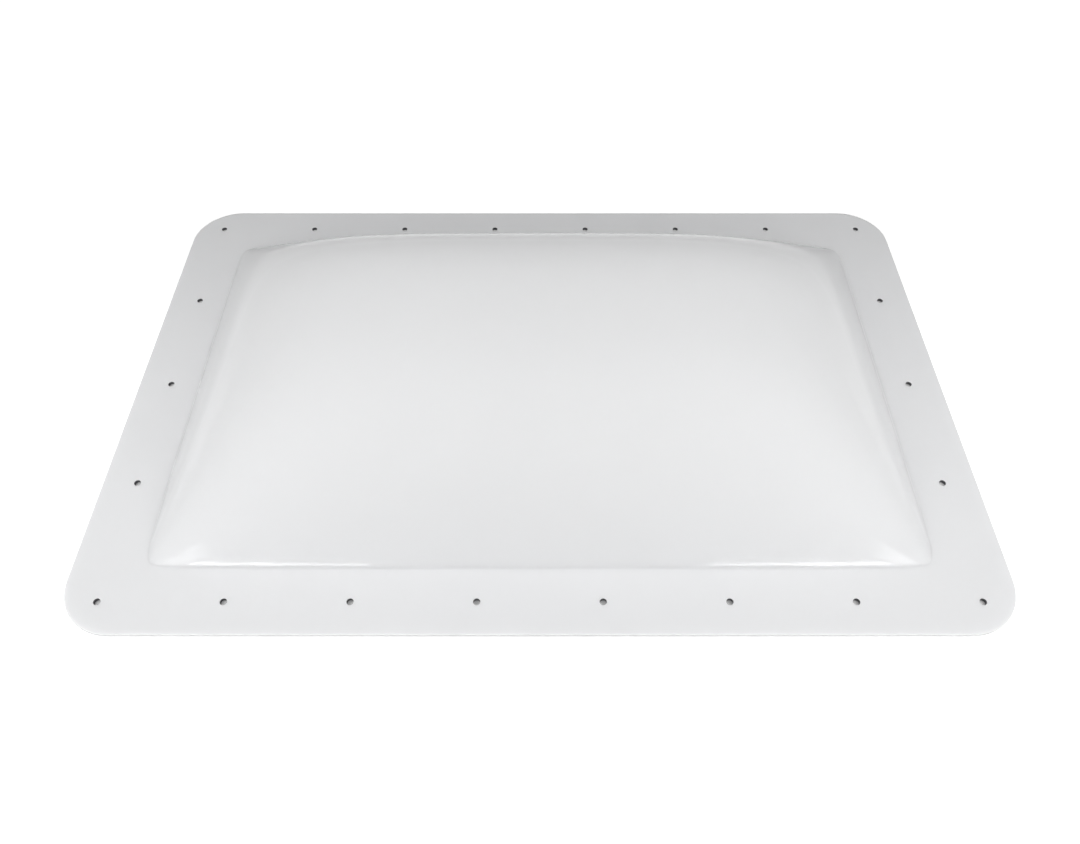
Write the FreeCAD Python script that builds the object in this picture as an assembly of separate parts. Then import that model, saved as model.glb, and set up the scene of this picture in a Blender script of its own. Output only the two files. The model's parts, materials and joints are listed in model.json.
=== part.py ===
import FreeCAD, Part
import math
import os

# Every size is in millimetres, +Z up. The origin is the centre of the flange's
# underside, which is the face that lies on the roof. X runs along the long side.

# The sheet: flat stock, drawn thinner towards the crown where the dome was blown
sheet_thickness = 3.0
crown_thickness = 2.4

# The flange: a rounded rectangle, trimmed all round
flange_length = 736.6
flange_width = 482.6
flange_corner_radius = 44.5
trim_edge_radius = 0.5

# The land is the flat strip from the trimmed edge to the foot of the dome's wall
land_at_ends = 55.0
land_at_sides = 55.0

# The dome, measured from the flange's top face
dome_rise = 101.6
bend_radius = 3.0

# The dome's form: how long it stays flat in each direction before it turns down,
# and how round its corners are at the foot
flatness_along = 4.3
flatness_across = 3.0
corner_roundness = 0.08

# The screw holes: one row round the flange, the corner holes shared
hole_diameter = 4.8
hole_edge_break = 0.3
hole_inset_from_ends = 29.0
hole_inset_from_sides = 26.5
holes_along = 8
holes_across = 5

# Control points of each blown face: round the dome, in the bend and up the wall
points_round = 96
points_in_bend = 5
points_up_wall = 26

half_length = flange_length / 2 - land_at_ends
half_width = flange_width / 2 - land_at_sides
DEGREE = 3
UP = FreeCAD.Vector(0, 0, 1)

# The step in which a slope is measured, and how far a level edge may rise
NUDGE = 0.01
LEVEL = 0.001


class BlownForm:
    """The outer surface of the dome, from the flange through the bend to the crown.

    A place is given by x and y as shares of the reach, where the surface would
    stand upright. Along each direction it falls from 1 to 0 by a power, and the
    two falls blend like resistors in parallel, which gives level lines that run
    from nearly a rectangle at the foot to an oval at the crown.
    """

    def __init__(self):
        kept = 1 - corner_roundness
        self.reach_x = half_length / kept ** (1 / flatness_along)
        self.reach_y = half_width / kept ** (1 / flatness_across)

    def share(self, x, y):
        """Height over a place, from 0 on the foot line to 1 at the crown."""
        along = 1 - abs(x / self.reach_x) ** flatness_along
        across = 1 - abs(y / self.reach_y) ** flatness_across
        blend = along * across / (along + across - along * across)
        return (blend - corner_roundness) / (1 - corner_roundness)

    def normal(self, x, y):
        """The direction square to the surface over a place."""
        climb_x = self.share(x + NUDGE, y) - self.share(x - NUDGE, y)
        climb_y = self.share(x, y + NUDGE) - self.share(x, y - NUDGE)
        lean = -dome_rise / (2 * NUDGE)
        return FreeCAD.Vector(lean * climb_x, lean * climb_y, 1).normalize()

    def place(self, angle, fall):
        """x and y on the level line with this fall, in the direction of angle.

        fall is 1 / blend - 1: 0 at the crown, growing without end outwards.
        """
        to_end = abs(math.cos(angle)) ** flatness_along
        to_side = abs(math.sin(angle)) ** flatness_across
        fall_x = fall * to_end / (to_end + to_side)
        fall_y = fall - fall_x
        x = self.reach_x * (fall_x / (1 + fall_x)) ** (1 / flatness_along)
        y = self.reach_y * (fall_y / (1 + fall_y)) ** (1 / flatness_across)
        return math.copysign(x, math.cos(angle)), math.copysign(y, math.sin(angle))

    def fall_at(self, share):
        """The fall of the level line at a share of the height."""
        blend = corner_roundness + share * (1 - corner_roundness)
        return 1 / blend - 1

    def bend(self, angle):
        """Points and normals from the flat flange round the bend to the wall.

        The second control point lies in the flange's plane, where the tangents
        of the first two points of the arc meet, so that the bend starts flat.
        """
        x, y = self.place(angle, self.fall_at(0))
        wall = self.normal(x, y)
        outwards = FreeCAD.Vector(wall.x, wall.y, 0).normalize()
        slope = math.acos(wall.z)
        turn = slope / (points_in_bend - 1)
        edge = bend_radius * math.tan(slope / 2)
        foot = FreeCAD.Vector(x, y, sheet_thickness)
        flat = edge - bend_radius * math.tan(turn / 2)
        found = [(foot + outwards * edge, UP), (foot + outwards * flat, UP)]
        for step in range(1, points_in_bend):
            turned = turn * step
            out = outwards * (edge - bend_radius * math.sin(turned))
            up = UP * (bend_radius * (1 - math.cos(turned)))
            square = outwards * math.sin(turned) + UP * math.cos(turned)
            found.append((foot + out + up, square))
        return found

    def wall(self, angle, start_height):
        """Points and normals from the end of the bend to the crown.

        The last control point before the crown is as high as the crown, so that
        the surface closes flat there.
        """
        fall = self.fall_at(start_height / dome_rise)
        full = fall / (1 + fall)
        power = (flatness_along + flatness_across) / 2
        found = []
        for step in range(1, points_up_wall):
            part = full * (1 - step / points_up_wall) ** power
            x, y = self.place(angle, part / (1 - part))
            height = sheet_thickness + dome_rise * self.share(x, y)
            found.append((FreeCAD.Vector(x, y, height), self.normal(x, y)))
        crown = UP * (sheet_thickness + dome_rise)
        last = found[-1][0]
        found[-1] = (FreeCAD.Vector(last.x, last.y, crown.z), UP)
        return found + [(crown, UP)]

    def meridian(self, angle, depth_share):
        """Control points up the dome, some way through the sheet's thickness.

        depth_share is 0 on the outer surface and 1 on the inner one.
        """
        bend = self.bend(angle)
        wall = self.wall(angle, bend[-1][0].z - sheet_thickness)
        points = []
        for point, square in bend + wall:
            risen = (point.z - sheet_thickness) / dome_rise
            here = sheet_thickness + (crown_thickness - sheet_thickness) * risen
            points.append(point - square * (here * depth_share))
        return points

    def face(self, depth_share):
        """The whole surface as one smooth face, closed round the dome."""
        rows = []
        for step in range(points_round):
            angle = 2 * math.pi * step / points_round
            rows.append(self.meridian(angle, depth_share))
        spans = len(rows[0]) - DEGREE
        surface = Part.BSplineSurface()
        surface.buildFromPolesMultsKnots(
            rows,
            [1] * (points_round + 1),
            [DEGREE + 1] + [1] * (spans - 1) + [DEGREE + 1],
            list(range(points_round + 1)),
            list(range(spans + 1)),
            True,
            False,
            DEGREE,
            DEGREE,
        )
        return surface.toShape()


def flange_plate():
    """The flange as a solid plate with rounded corners and eased edges."""
    corner = FreeCAD.Vector(-flange_length / 2, -flange_width / 2, 0)
    plate = Part.makeBox(flange_length, flange_width, sheet_thickness, corner)
    upright = [e for e in plate.Edges if e.BoundBox.ZLength > sheet_thickness / 2]
    plate = plate.makeFillet(flange_corner_radius, upright)
    rim = [e for e in plate.Edges if e.BoundBox.ZLength < trim_edge_radius / 2]
    return plate.makeFillet(trim_edge_radius, rim)


def foot_edge(face, height):
    """The edge in which a blown face meets the flange."""
    level = [e for e in face.Edges if not e.Degenerated and e.BoundBox.ZLength < LEVEL]
    return min(level, key=lambda e: abs(e.BoundBox.ZMin - height))


def flange_face(plate_face, blown_face, height):
    """One flat face of the flange, with the dome's place left open in it."""
    wires = [plate_face.OuterWire, Part.Wire(foot_edge(blown_face, height))]
    return Part.makeFace(wires, "Part::FaceMakerBullseye")


def blown_sheet():
    """The trimmed sheet with the dome blown in it, before it is drilled."""
    plate = flange_plate()
    by_height = sorted(plate.Faces, key=lambda f: f.CenterOfMass.z)
    bottom, rim, top = by_height[0], by_height[1:-1], by_height[-1]
    form = BlownForm()
    outer, inner = form.face(0), form.face(1)
    faces = rim + [inner, outer]
    faces.append(flange_face(bottom, inner, 0))
    faces.append(flange_face(top, outer, sheet_thickness))
    shell = Part.Shell(faces)
    shell.sewShape()
    solid = Part.Solid(shell)
    if solid.Volume < 0:
        solid.reverse()
    return solid


def hole_places():
    """Centres of the holes, once each, round the flange."""
    reach_x = flange_length / 2 - hole_inset_from_ends
    reach_y = flange_width / 2 - hole_inset_from_sides
    places = []
    for i in range(holes_along):
        for j in range(holes_across):
            if i in (0, holes_along - 1) or j in (0, holes_across - 1):
                x = reach_x * (2 * i / (holes_along - 1) - 1)
                y = reach_y * (2 * j / (holes_across - 1) - 1)
                places.append((x, y))
    return places


def drill(x, y):
    """One hole right through the flange, with both its edges broken."""
    radius = hole_diameter / 2
    wide = radius + hole_edge_break
    low = FreeCAD.Vector(x, y, 0)
    high = FreeCAD.Vector(x, y, sheet_thickness - hole_edge_break)
    bore = Part.makeCylinder(radius, sheet_thickness, low)
    low_break = Part.makeCone(wide, radius, hole_edge_break, low)
    high_break = Part.makeCone(radius, wide, hole_edge_break, high)
    return bore.fuse([low_break, high_break])


def skylight_dome():
    """The whole piece: flange, bend, dome and screw holes in one solid."""
    drilled = blown_sheet().cut([drill(x, y) for x, y in hole_places()])
    return drilled.Solids[0]


os.makedirs("parts", exist_ok=True)
skylight_dome().exportStep("parts/skylight_dome.step")
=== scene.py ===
import json
import math

import bmesh
import bpy
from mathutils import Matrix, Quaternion, Vector
from mathutils.geometry import delaunay_2d_cdt


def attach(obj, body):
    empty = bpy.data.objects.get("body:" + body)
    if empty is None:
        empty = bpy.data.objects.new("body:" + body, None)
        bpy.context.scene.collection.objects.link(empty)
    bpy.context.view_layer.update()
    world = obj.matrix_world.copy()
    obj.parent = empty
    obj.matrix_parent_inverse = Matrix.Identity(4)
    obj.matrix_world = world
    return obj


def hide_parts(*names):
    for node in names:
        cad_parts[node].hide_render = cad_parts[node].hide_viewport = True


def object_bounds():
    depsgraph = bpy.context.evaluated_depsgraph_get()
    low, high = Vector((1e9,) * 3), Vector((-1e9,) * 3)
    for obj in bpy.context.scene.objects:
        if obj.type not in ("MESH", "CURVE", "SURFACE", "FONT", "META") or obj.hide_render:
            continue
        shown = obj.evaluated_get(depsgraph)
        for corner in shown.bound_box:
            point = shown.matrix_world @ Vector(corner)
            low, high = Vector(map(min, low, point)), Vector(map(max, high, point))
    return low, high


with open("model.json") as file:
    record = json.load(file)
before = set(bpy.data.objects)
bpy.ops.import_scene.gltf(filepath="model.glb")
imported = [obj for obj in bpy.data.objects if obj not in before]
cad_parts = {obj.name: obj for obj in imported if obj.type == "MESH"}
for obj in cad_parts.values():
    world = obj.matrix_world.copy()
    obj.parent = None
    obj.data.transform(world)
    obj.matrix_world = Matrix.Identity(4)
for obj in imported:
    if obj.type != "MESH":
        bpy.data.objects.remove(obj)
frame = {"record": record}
cad_low, cad_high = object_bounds()

# Everything is in metres. The flange's outline and the overall height come from the
# frame, and the screw holes from the bolt patterns of its record.
HALF_LENGTH = (cad_high.x - cad_low.x) / 2
HALF_WIDTH = (cad_high.y - cad_low.y) / 2
CROWN = cad_high.z

# The sheet and its edges
SHEET = 0.0030
CROWN_SHEET = 0.0024
CORNER_RADIUS = 0.0445
TRIM_ROUND = 0.0005
HOLE_ROUND = 0.0003
LAND = 0.055
BEND_RADIUS = 0.003
RISE = CROWN - SHEET

# The dome's form, as in the frame
FLATNESS_ALONG = 4.3
FLATNESS_ACROSS = 3.0
CORNER_ROUNDNESS = 0.08
FOOT_HALF_LENGTH = HALF_LENGTH - LAND
FOOT_HALF_WIDTH = HALF_WIDTH - LAND

# How finely the mesh follows each curve
STEPS_ROUND = 256
STEPS_IN_BEND = 8
STEPS_UP_WALL = 48
STEPS_IN_CORNER = 16
STEPS_IN_EDGE = 4
STEPS_IN_HOLE = 32

# The plastic: how much it bends light, its gloss where it is looked at squarely and
# at its turned edge, the turn over which the one becomes the other, and how far light
# travels in it before it turns
REFRACTION = 1.585
GLOSS_LEVEL = 0.4
GLOSS_AT_EDGE = 0.03
TURN_FROM = 0.45
TURN_TO = 0.7
FREE_PATH = 0.008

# The face's slow wave and fine peel: bumps to the metre, and their full height
WAVE = (9, 0.00005)
PEEL = (380, 0.000002)

# The light: an even surround, and lamps as (name, place, aim, size, roll, watts, shown
# in gloss). Those that stand to the left have a twin on the right. The panels light
# the plastic, and the narrow lamps in front are seen in it: the corner light on the
# dome's corner, and the strips as the fine bright line along its foot.
AMBIENT = 0.16
LAMPS = (
    ("overhead_panel", (0, 0, 0.55), (0, 0, 0), (1.6, 0.3), 0, 3.15, False),
    ("front_panel", (0, -0.7, 0.45), (0, -0.1, 0.03), (1.8, 0.3), 0, 2.67, False),
    ("side_panel", (-0.5, -0.4, 0.5), (-0.3, -0.15, 0), (0.3, 0.3), 0, 1.11, False),
    ("low_fill", (-1.1, -0.8, 0.12), (0, 0, 0.05), (0.30, 0.12), 0, 1.0, False),
    ("corner_light", (-0.86, -1.1, 0.385), (-0.3, -0.19, 0), (0.34, 0.085), -48, 0.25, True),
    ("foot_strip", (-0.655, -1.1, 0.138), (-0.3, -0.19, 0), (0.143, 0.010), -50, 0.09, True),
    ("foot_strip", (-0.54, -1.1, 0.056), (-0.25, -0.19, 0), (0.12, 0.010), -25, 0.07, True),
    ("foot_strip", (-0.40, -1.1, 0.020), (-0.17, -0.19, 0), (0.15, 0.008), -8, 0.05, True),
)

# The floor: how far it reaches and lies below the flange, and how much it is lifted
# to white, by the flange and further off
FLOOR_REACH = 1.5
FLOOR_DROP = 0.0003
FLOOR_COLOUR = (0.86, 0.86, 0.86)
LIFT_NEAR = 0.50
LIFT_FAR = 1.0
LIFT_WIDTH = 0.9

# The camera, solved from the photograph: width of its sensor, focal length, where it
# stands over the flange's top, and how far it is tipped up from looking straight down
SENSOR_WIDTH = 36
FOCAL_LENGTH = 27.53
CAMERA_BACK = 0.48125
CAMERA_OVER_FLANGE = 0.58943
CAMERA_TIP = 36.60

UP = Vector((0, 0, 1))
NUDGE = 1e-5
FLAT_TOLERANCE = 1e-9
FACE, TRIM, BORE = 0, 1, 2


class BlownForm:
    """The outer surface of the dome, as level lines that grow rounder towards the crown."""

    def __init__(self):
        kept = 1 - CORNER_ROUNDNESS
        self.reach_x = FOOT_HALF_LENGTH / kept ** (1 / FLATNESS_ALONG)
        self.reach_y = FOOT_HALF_WIDTH / kept ** (1 / FLATNESS_ACROSS)

    def share(self, x, y):
        """Height over a place, from 0 on the foot line to 1 at the crown."""
        along = 1 - abs(x / self.reach_x) ** FLATNESS_ALONG
        across = 1 - abs(y / self.reach_y) ** FLATNESS_ACROSS
        blend = along * across / (along + across - along * across)
        return (blend - CORNER_ROUNDNESS) / (1 - CORNER_ROUNDNESS)

    def normal(self, x, y):
        """The direction square to the surface over a place."""
        climb_x = self.share(x + NUDGE, y) - self.share(x - NUDGE, y)
        climb_y = self.share(x, y + NUDGE) - self.share(x, y - NUDGE)
        lean = -RISE / (2 * NUDGE)
        return Vector((lean * climb_x, lean * climb_y, 1)).normalized()

    def place(self, angle, fall):
        """x and y on the level line with this fall, in the direction of angle."""
        to_end = abs(math.cos(angle)) ** FLATNESS_ALONG
        to_side = abs(math.sin(angle)) ** FLATNESS_ACROSS
        fall_x = fall * to_end / (to_end + to_side)
        fall_y = fall - fall_x
        x = self.reach_x * (fall_x / (1 + fall_x)) ** (1 / FLATNESS_ALONG)
        y = self.reach_y * (fall_y / (1 + fall_y)) ** (1 / FLATNESS_ACROSS)
        return math.copysign(x, math.cos(angle)), math.copysign(y, math.sin(angle))

    def fall_at(self, share):
        """The fall of the level line at a share of the height."""
        blend = CORNER_ROUNDNESS + share * (1 - CORNER_ROUNDNESS)
        return 1 / blend - 1

    def bend(self, angle):
        """Points and normals of the outer face, round the bend from the flat land."""
        x, y = self.place(angle, self.fall_at(0))
        wall = self.normal(x, y)
        outwards = Vector((wall.x, wall.y, 0)).normalized()
        slope = math.acos(wall.z)
        edge = BEND_RADIUS * math.tan(slope / 2)
        foot = Vector((x, y, SHEET))
        found = []
        for step in range(STEPS_IN_BEND + 1):
            turned = slope * step / STEPS_IN_BEND
            out = outwards * (edge - BEND_RADIUS * math.sin(turned))
            up = UP * (BEND_RADIUS * (1 - math.cos(turned)))
            square = outwards * math.sin(turned) + UP * math.cos(turned)
            found.append((foot + out + up, square))
        return found

    def wall(self, angle, start_height):
        """Points and normals of the outer face, from the bend to just short of the crown."""
        fall = self.fall_at(start_height / RISE)
        full = fall / (1 + fall)
        power = (FLATNESS_ALONG + FLATNESS_ACROSS) / 2
        found = []
        for step in range(1, STEPS_UP_WALL):
            part = full * (1 - step / STEPS_UP_WALL) ** power
            x, y = self.place(angle, part / (1 - part))
            height = SHEET + RISE * self.share(x, y)
            found.append((Vector((x, y, height)), self.normal(x, y)))
        return found

    def meridian(self, angle):
        """The outer face and the inner one, from the land to just short of the crown."""
        bend = self.bend(angle)
        outer = bend + self.wall(angle, bend[-1][0].z - SHEET)
        inner = []
        for point, square in outer:
            risen = (point.z - SHEET) / RISE
            here = SHEET + (CROWN_SHEET - SHEET) * risen
            inner.append((point - square * here, -square))
        return outer, inner


class SheetMesh:
    """Collects points with their normals and the faces between closed rings of them."""

    def __init__(self):
        self.points = []
        self.normals = []
        self.faces = []
        self.kinds = []

    def ring(self, places):
        """Adds (point, normal) pairs and returns their numbers."""
        first = len(self.points)
        for point, normal in places:
            self.points.append(point)
            self.normals.append(normal)
        return list(range(first, len(self.points)))

    def strip(self, one, two, kind):
        """Quads between two rings with as many points."""
        for i, (a, b) in enumerate(zip(one, two)):
            after = (i + 1) % len(one)
            self.faces.append((a, one[after], two[after], b))
            self.kinds.append(kind)

    def fan(self, ring, tip, kind):
        """Triangles between a ring and one point."""
        for i, a in enumerate(ring):
            self.faces.append((a, ring[(i + 1) % len(ring)], tip))
            self.kinds.append(kind)

    def flat(self, outside, openings, kind):
        """Triangles of a level region inside one ring and outside the others."""
        rings = [outside] + openings
        numbers = [n for ring in rings for n in ring]
        flat_points = [self.points[n].xy for n in numbers]
        edges = []
        first = 0
        for ring in rings:
            edges += [(first + i, first + (i + 1) % len(ring)) for i in range(len(ring))]
            first += len(ring)
        corners, _, triangles, _, _, _ = delaunay_2d_cdt(flat_points, edges, [], 0, FLAT_TOLERANCE)
        outlines = [[self.points[n].xy for n in ring] for ring in rings]
        for triangle in triangles:
            middle = sum((corners[c] for c in triangle), Vector((0, 0))) / 3
            held = inside(middle, outlines[0])
            if held and not any(inside(middle, outline) for outline in outlines[1:]):
                self.faces.append(tuple(numbers[c] for c in triangle))
                self.kinds.append(kind)

    def build(self, name):
        """The object, with smooth faces that shade by the normals given."""
        mesh = bpy.data.meshes.new(name)
        mesh.from_pydata(self.points, [], self.faces)
        mesh.polygons.foreach_set("material_index", self.kinds)
        work = bmesh.new()
        work.from_mesh(mesh)
        bmesh.ops.recalc_face_normals(work, faces=work.faces)
        work.to_mesh(mesh)
        work.free()
        mesh.shade_smooth()
        mesh.normals_split_custom_set_from_vertices(self.normals)
        piece = bpy.data.objects.new(name, mesh)
        bpy.context.scene.collection.objects.link(piece)
        return piece


def inside(point, outline):
    """Whether a plan point lies inside a closed outline."""
    found = False
    for i, a in enumerate(outline):
        b = outline[i - 1]
        if (a.y > point.y) != (b.y > point.y):
            if point.x < a.x + (b.x - a.x) * (point.y - a.y) / (b.y - a.y):
                found = not found
    return found


def edge_round(radius):
    """Steps of a rounded edge: (share inwards, share down, tilt from upright)."""
    steps = []
    for step in range(STEPS_IN_EDGE + 1):
        tilt = math.pi / 2 * step / STEPS_IN_EDGE
        steps.append((radius * (1 - math.sin(tilt)), radius * (1 - math.cos(tilt)), tilt))
    return steps


def through_profile(radius):
    """The sheet's cut edge from its top land to its bottom: (inset, height, tilt)."""
    top = [(inset, SHEET - down, tilt) for inset, down, tilt in edge_round(radius)]
    bottom = [(inset, down, math.pi - tilt) for inset, down, tilt in edge_round(radius)]
    return top + bottom[::-1]


def rim_ring(inset, height, tilt):
    """The flange's rounded outline at one inset from its trimmed edge."""
    places = []
    for corner in range(4):
        side_x = (1, -1, -1, 1)[corner] * (HALF_LENGTH - CORNER_RADIUS)
        side_y = (1, 1, -1, -1)[corner] * (HALF_WIDTH - CORNER_RADIUS)
        centre = Vector((side_x, side_y, height))
        for step in range(STEPS_IN_CORNER + 1):
            angle = math.pi / 2 * (corner + step / STEPS_IN_CORNER)
            out = Vector((math.cos(angle), math.sin(angle), 0))
            normal = out * math.sin(tilt) + UP * math.cos(tilt)
            places.append((centre + out * (CORNER_RADIUS - inset), normal))
    return places


def hole_ring(centre, radius, inset, height, tilt):
    """A ring round one screw hole. Its cut edge faces the hole's own axis."""
    places = []
    for step in range(STEPS_IN_HOLE):
        angle = 2 * math.pi * step / STEPS_IN_HOLE
        out = Vector((math.cos(angle), math.sin(angle), 0))
        point = Vector((centre[0], centre[1], height)) + out * (radius + inset)
        places.append((point, UP * math.cos(tilt) - out * math.sin(tilt)))
    return places


def screw_holes():
    """(x, y, radius) of every hole in the record's bolt patterns."""
    holes = set()
    for mount in frame["record"]["mounts"]:
        if mount["kind"] != "bolt_pattern":
            continue
        across_x = mount["dims"].get("spacing_x_mm", 0) / 2000
        across_y = mount["dims"].get("spacing_y_mm", 0) / 2000
        for side_x in (-1, 1):
            for side_y in (-1, 1):
                x = round(mount["pos_m"][0] + side_x * across_x, 7)
                y = round(mount["pos_m"][1] + side_y * across_y, 7)
                holes.add((x, y, mount["dims"]["hole_r_mm"] / 1000))
    return sorted(holes)


def cut_edge(sheet, rings_of_places, kind):
    """Joins the rings of one cut edge by strips; returns its top and bottom rings."""
    rings = [sheet.ring(places) for places in rings_of_places]
    for one, two in zip(rings, rings[1:]):
        sheet.strip(one, two, kind)
    return rings[0], rings[-1]


def opal_dome():
    """The whole piece: flange, bend, dome, trimmed edge and screw holes."""
    sheet = SheetMesh()
    form = BlownForm()
    meridians = [form.meridian(2 * math.pi * i / STEPS_ROUND) for i in range(STEPS_ROUND)]
    feet = []
    for side, tip_height, tip_normal in ((0, CROWN, UP), (1, CROWN - CROWN_SHEET, -UP)):
        rows = len(meridians[0][side])
        rings = [sheet.ring([m[side][row] for m in meridians]) for row in range(rows)]
        for one, two in zip(rings, rings[1:]):
            sheet.strip(one, two, FACE)
        tip = sheet.ring([(UP * tip_height, tip_normal)])[0]
        sheet.fan(rings[-1], tip, FACE)
        feet.append(rings[0])
    rim = cut_edge(sheet, [rim_ring(*step) for step in through_profile(TRIM_ROUND)], TRIM)
    holes = []
    for x, y, radius in screw_holes():
        rings = [hole_ring((x, y), radius, *step) for step in through_profile(HOLE_ROUND)]
        holes.append(cut_edge(sheet, rings, BORE))
    for side in (0, 1):
        sheet.flat(rim[side], [feet[side]] + [hole[side] for hole in holes], FACE)
    return sheet.build("opal_dome")


class Nodes:
    """Short calls for the nodes of one material or of the world."""

    def __init__(self, owner):
        owner.use_nodes = True
        self.owner = owner
        self.tree = owner.node_tree
        self.tree.nodes.clear()

    def add(self, kind, **settings):
        node = self.tree.nodes.new(kind)
        for name, value in settings.items():
            setattr(node, name, value)
        return node

    def feed(self, socket, source):
        """Links another node's output into a socket, or sets a plain value there."""
        if isinstance(source, bpy.types.NodeSocket):
            self.tree.links.new(source, socket)
        else:
            socket.default_value = source

    def maths(self, operation, *sources):
        node = self.add("ShaderNodeMath", operation=operation)
        for socket, source in zip(node.inputs, sources):
            self.feed(socket, source)
        return node.outputs[0]

    def vectors(self, operation, *sources):
        node = self.add("ShaderNodeVectorMath", operation=operation)
        for socket, source in zip(node.inputs, sources):
            self.feed(socket, source)
        return node.outputs[0]

    def between(self, value, low, high, start=0.3, end=0.7):
        """The value from start to end, as a number from low to high."""
        ranged = self.add("ShaderNodeMapRange")
        for name, source in (("Value", value), ("From Min", start), ("From Max", end)):
            self.feed(ranged.inputs[name], source)
        self.feed(ranged.inputs["To Min"], low)
        self.feed(ranged.inputs["To Max"], high)
        return ranged.outputs["Result"]

    def object_place(self):
        return self.add("ShaderNodeTexCoord").outputs["Object"]

    def noise(self, scale, detail, stretch=(1, 1, 1)):
        """A noise of about scale bumps to the metre, from 0 to 1."""
        mapping = self.add("ShaderNodeMapping")
        self.feed(mapping.inputs["Scale"], stretch)
        self.feed(mapping.inputs["Vector"], self.object_place())
        texture = self.add("ShaderNodeTexNoise")
        self.feed(texture.inputs["Vector"], mapping.outputs["Vector"])
        self.feed(texture.inputs["Scale"], scale)
        self.feed(texture.inputs["Detail"], detail)
        return texture.outputs["Fac"]

    def colours(self, value, low, high):
        """A colour from low to high as the value goes from 0 to 1."""
        mixed = self.add("ShaderNodeMix", data_type="RGBA")
        self.feed(mixed.inputs[0], value)
        self.feed(mixed.inputs[6], (*low, 1))
        self.feed(mixed.inputs[7], (*high, 1))
        return mixed.outputs[2]

    def bump(self, height, depth, below=None):
        """A bump whose full height is depth, on top of another."""
        node = self.add("ShaderNodeBump")
        self.feed(node.inputs["Distance"], depth)
        self.feed(node.inputs["Height"], height)
        if below is not None:
            self.feed(node.inputs["Normal"], below)
        return node.outputs["Normal"]

    def seen(self):
        """1 where the camera, gloss or a clear thing looks, 0 where light is gathered."""
        path = self.add("ShaderNodeLightPath")
        direct = self.maths("MAXIMUM", path.outputs["Is Camera Ray"], path.outputs["Is Glossy Ray"])
        return self.maths("MAXIMUM", direct, path.outputs["Is Transmission Ray"])

    def dulled_at_the_edge(self):
        """The gloss: full on faces that are looked at, next to none where they turn away."""
        facing = self.add("ShaderNodeLayerWeight").outputs["Facing"]
        return self.between(facing, GLOSS_LEVEL, GLOSS_AT_EDGE, TURN_FROM, TURN_TO)

    def opal(self, colour, roughness, normal):
        """Opal plastic: light scatters inside it and shines through it."""
        shader = self.add("ShaderNodeBsdfPrincipled")
        self.feed(shader.inputs["Base Color"], colour)
        self.feed(shader.inputs["Roughness"], roughness)
        self.feed(shader.inputs["Normal"], normal)
        self.feed(shader.inputs["IOR"], REFRACTION)
        self.feed(shader.inputs["Specular IOR Level"], self.dulled_at_the_edge())
        self.feed(shader.inputs["Subsurface Weight"], 1.0)
        self.feed(shader.inputs["Subsurface Radius"], (1, 1, 1))
        self.feed(shader.inputs["Subsurface Scale"], FREE_PATH)
        return self.finish(shader)

    def finish(self, shader, output="ShaderNodeOutputMaterial"):
        self.feed(self.add(output).inputs["Surface"], shader.outputs[0])
        return self.owner


def opal_face():
    """The moulded faces: gloss, with the slow waves and fine peel of a blown sheet."""
    nodes = Nodes(bpy.data.materials.new("opal_face"))
    colour = nodes.colours(nodes.noise(6, 2), (0.795, 0.803, 0.822), (0.825, 0.833, 0.848))
    roughness = nodes.between(nodes.noise(40, 3), 0.065, 0.08)
    wave = nodes.bump(nodes.noise(WAVE[0], 1), WAVE[1])
    peel = nodes.bump(nodes.noise(PEEL[0], 2), PEEL[1], wave)
    return nodes.opal(colour, roughness, peel)


def opal_trim():
    """The trimmed edge: fine upright saw marks and less gloss."""
    nodes = Nodes(bpy.data.materials.new("opal_trim"))
    marks = nodes.noise(900, 2, (1, 1, 0.15))
    colour = nodes.colours(marks, (0.74, 0.755, 0.76), (0.82, 0.83, 0.83))
    roughness = nodes.between(marks, 0.35, 0.6)
    return nodes.opal(colour, roughness, nodes.bump(marks, 0.00004))


def painted_shade_bore():
    """The drilled bores: painted near-black as the shade inside the holes, with rings from the
    drill's lips.
    """
    nodes = Nodes(bpy.data.materials.new("painted_shade_bore"))
    rings = nodes.noise(1500, 2, (0.1, 0.1, 1))
    shader = nodes.add("ShaderNodeBsdfPrincipled")
    # The near-black colour is painted shade, standing in for how little light reaches inside the
    # holes.
    colour = nodes.colours(rings, (0.05, 0.05, 0.055), (0.11, 0.11, 0.115))
    nodes.feed(shader.inputs["Base Color"], colour)
    nodes.feed(shader.inputs["Roughness"], nodes.between(rings, 0.5, 0.7))
    nodes.feed(shader.inputs["Normal"], nodes.bump(rings, 0.00003))
    return nodes.finish(shader)


def past_flange(nodes):
    """How far a place of the floor lies outside the flange's rounded outline."""
    folded = nodes.vectors("ABSOLUTE", nodes.object_place())
    straight = (HALF_LENGTH - CORNER_RADIUS, HALF_WIDTH - CORNER_RADIUS, 1)
    past = nodes.vectors("MAXIMUM", nodes.vectors("SUBTRACT", folded, straight), (0, 0, 0))
    length = nodes.add("ShaderNodeVectorMath", operation="LENGTH")
    nodes.feed(length.inputs[0], past)
    return nodes.maths("SUBTRACT", length.outputs["Value"], CORNER_RADIUS)


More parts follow.
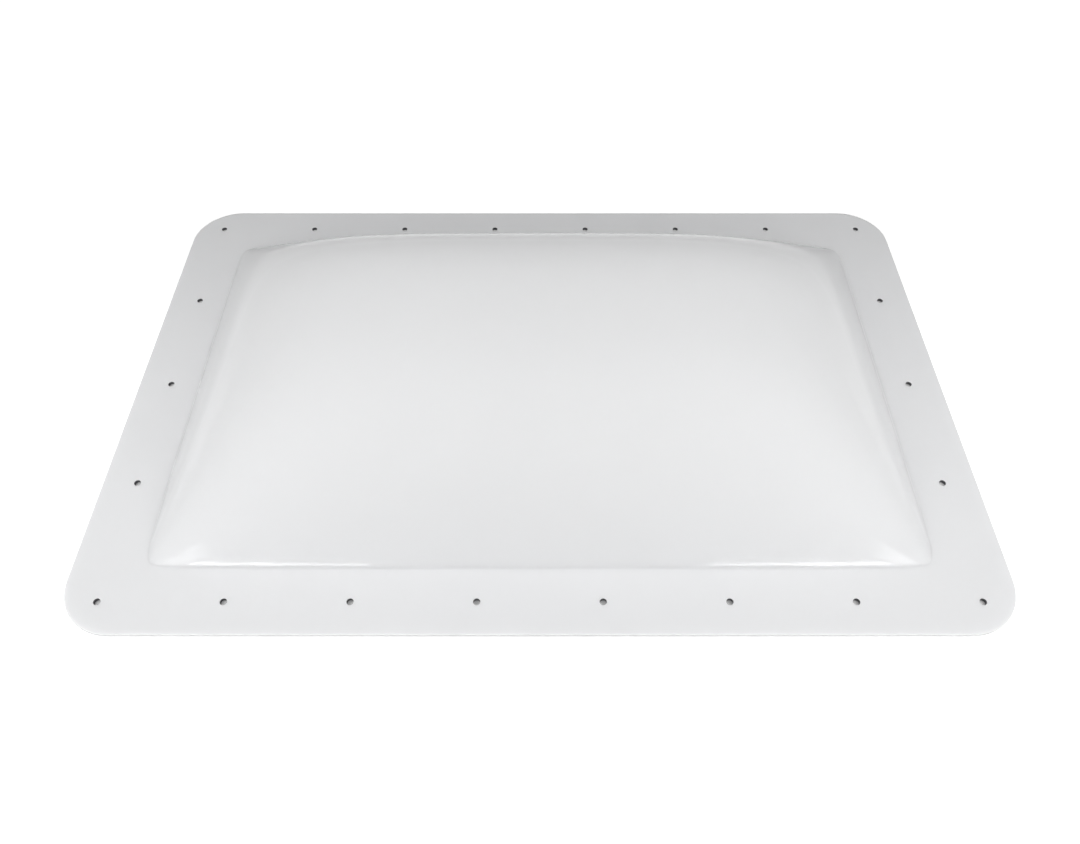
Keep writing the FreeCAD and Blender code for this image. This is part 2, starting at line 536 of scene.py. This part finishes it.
def floor():
    """A plain white floor that keeps the object's shadow.

    Where it is looked at it is lifted towards white, but not under the flange, so
    that the screw holes stay dark.
    """
    mesh = bpy.data.meshes.new("floor")
    sides = ((-1, -1), (1, -1), (1, 1), (-1, 1))
    corners = [(x * FLOOR_REACH, y * FLOOR_REACH, -FLOOR_DROP) for x, y in sides]
    mesh.from_pydata(corners, [], [(0, 1, 2, 3)])
    piece = bpy.data.objects.new("floor", mesh)
    bpy.context.scene.collection.objects.link(piece)
    nodes = Nodes(bpy.data.materials.new("floor_white"))
    past = past_flange(nodes)
    lift = nodes.between(past, LIFT_NEAR, LIFT_FAR, 0.0, LIFT_WIDTH)
    shown = nodes.maths("MULTIPLY", nodes.seen(), nodes.maths("GREATER_THAN", past, 0.0))
    glow = nodes.add("ShaderNodeEmission")
    nodes.feed(glow.inputs["Strength"], nodes.maths("MULTIPLY", lift, shown))
    white = nodes.add("ShaderNodeBsdfDiffuse")
    nodes.feed(white.inputs["Color"], (*FLOOR_COLOUR, 1))
    both = nodes.add("ShaderNodeAddShader")
    nodes.feed(both.inputs[0], white.outputs[0])
    nodes.feed(both.inputs[1], glow.outputs[0])
    mesh.materials.append(nodes.finish(both))


def lamp(name, place, aim, size, roll, watts, in_gloss):
    """A soft rectangular lamp, rolled about its axis, which gloss shows or not."""
    light = bpy.data.lights.new(name, "AREA")
    light.shape = "RECTANGLE"
    light.size, light.size_y = size
    light.energy = watts
    piece = bpy.data.objects.new(name, light)
    piece.location = place
    turned = (Vector(aim) - Vector(place)).to_track_quat("-Z", "Y")
    turned @= Quaternion((0, 0, 1), math.radians(roll))
    piece.rotation_euler = turned.to_euler()
    piece.visible_glossy = in_gloss
    piece.visible_camera = False
    bpy.context.scene.collection.objects.link(piece)


def lamps():
    """Every lamp, and the twins of those that stand to the left."""
    for name, place, aim, size, roll, watts, in_gloss in LAMPS:
        for side in (1, -1) if place[0] else (1,):
            there = (side * place[0], *place[1:])
            at = (side * aim[0], *aim[1:])
            lamp(name, there, at, size, side * roll, watts, in_gloss)


def surround():
    """White where it is looked at, and dimmer as light."""
    bpy.context.scene.world = bpy.data.worlds.new("studio")
    nodes = Nodes(bpy.context.scene.world)
    back = nodes.add("ShaderNodeBackground")
    nodes.feed(back.inputs["Color"], (1, 1, 1, 1))
    nodes.feed(back.inputs["Strength"], nodes.between(nodes.seen(), AMBIENT, 1.0, 0.0, 1.0))
    nodes.finish(back, "ShaderNodeOutputWorld")


def camera():
    """The photograph's view, solved from the flange's outline and its holes."""
    eye = bpy.data.cameras.new("camera")
    eye.sensor_width = SENSOR_WIDTH
    eye.lens = FOCAL_LENGTH
    piece = bpy.data.objects.new("camera", eye)
    piece.location = (0, -CAMERA_BACK, CAMERA_OVER_FLANGE + SHEET)
    piece.rotation_euler = (math.radians(CAMERA_TIP), 0, 0)
    bpy.context.scene.collection.objects.link(piece)
    bpy.context.scene.camera = piece


bpy.context.scene.view_settings.view_transform = "Standard"
camera()
surround()
floor()
lamps()

dome = opal_dome()
for material in (opal_face(), opal_trim(), painted_shade_bore()):
    dome.data.materials.append(material)
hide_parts("skylight_dome")
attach(dome, "root")
